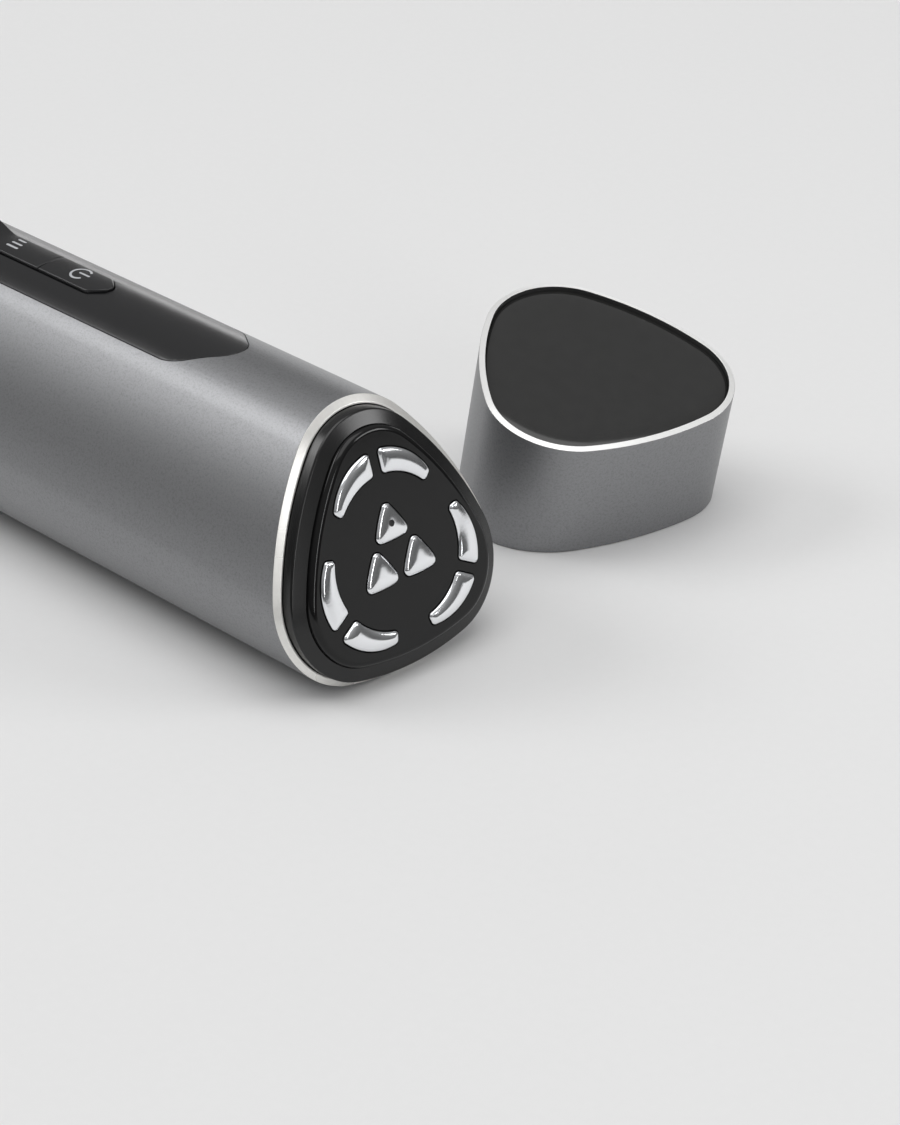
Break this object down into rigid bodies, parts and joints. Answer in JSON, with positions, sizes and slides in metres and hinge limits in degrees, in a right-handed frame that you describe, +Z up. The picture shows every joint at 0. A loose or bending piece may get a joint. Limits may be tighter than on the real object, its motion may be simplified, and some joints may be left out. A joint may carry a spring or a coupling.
{
  "type": "facial lifting device",
  "caption": "Facial lifting device: rounded-triangle handle with an oblique electrode head and ridge keys, lying beside its upright cap.",
  "frame": {"origin": "on the floor, midway along and across the handle and its standing cap", "axes": "+X along the handle towards its electrode head, +Z up, +Y towards the cap"},
  "size_m": [0.1784, 0.1234, 0.0529],
  "materials": {
    "anodised_aluminium": "bead-blasted, grey",
    "gloss_black": "polished",
    "seal_rubber": "matt",
    "sensor_resin": "matt",
    "panel_black": "semi-gloss",
    "key_black": "semi-gloss",
    "moulded_black": "matt",
    "circuit_board": "satin",
    "plain_steel": "satin",
    "spring_brass": "satin",
    "moulded_white": "matt",
    "chip_resin": "matt",
    "ferrite_brown": "matt",
    "capacitor_sleeve": "satin",
    "ribbon_film": "satin",
    "cell_sleeve": "satin",
    "light_resin": "satin",
    "polished_chrome": "mirror"
  },
  "bodies": {
    "handle": {"tube_shell": "anodised_aluminium", "head_collar": "gloss_black", "head_seal": "seal_rubber", "face_plate": "gloss_black", "arc_electrode_1": "polished_chrome", "arc_electrode_2": "polished_chrome", "arc_electrode_3": "polished_chrome", "arc_electrode_4": "polished_chrome", "arc_electrode_5": "polished_chrome", "arc_electrode_6": "polished_chrome", "centre_electrode_1": "polished_chrome", "centre_electrode_2": "polished_chrome", "centre_electrode_3": "polished_chrome", "skin_sensor": "sensor_resin", "electrode_carrier": "moulded_black", "electrode_board": "circuit_board", "electrode_screws": "plain_steel", "inner_chassis": "moulded_white", "main_board": "circuit_board", "processor_chip": "chip_resin", "board_capacitors": "capacitor_sleeve", "power_inductor": "chip_resin", "output_transformer": "ferrite_brown", "head_connector": "moulded_white", "head_ribbon": "ribbon_film", "battery_cell": "cell_sleeve", "battery_contacts": "spring_brass", "vibration_motor": "plain_steel", "control_panel": "panel_black", "key_board": "circuit_board", "key_switches": "plain_steel", "key_lights": "light_resin", "key_ribbon": "ribbon_film", "key_board_screws": "plain_steel", "tail_frame": "moulded_black", "tail_seal": "seal_rubber", "tail_plate": "gloss_black", "tail_screws": "plain_steel", "charging_socket": "plain_steel"},
    "power_button": {"power_button": "key_black"},
    "level_button": {"level_button": "key_black"},
    "mode_button": {"mode_button": "key_black"},
    "cap": {"cap_shell": "anodised_aluminium", "cap_plate": "gloss_black", "cap_liner": "moulded_black"}
  },
  "joints": [
    {"name": "power_press", "type": "slide", "parent": "handle", "child": "power_button", "axis": [0, 0.0349, -0.9994], "range_m": [0, 0.00035], "stiffness_N_per_m": 3000},
    {"name": "level_press", "type": "slide", "parent": "handle", "child": "level_button", "axis": [0, 0.0349, -0.9994], "range_m": [0, 0.00035], "stiffness_N_per_m": 3000},
    {"name": "mode_press", "type": "slide", "parent": "handle", "child": "mode_button", "axis": [0, 0.0349, -0.9994], "range_m": [0, 0.00035], "stiffness_N_per_m": 3000},
    {"name": "cap_lift", "type": "slide", "parent": "handle", "child": "cap", "axis": [0, 0, 1], "range_m": [0, 0.06]}
  ]
}
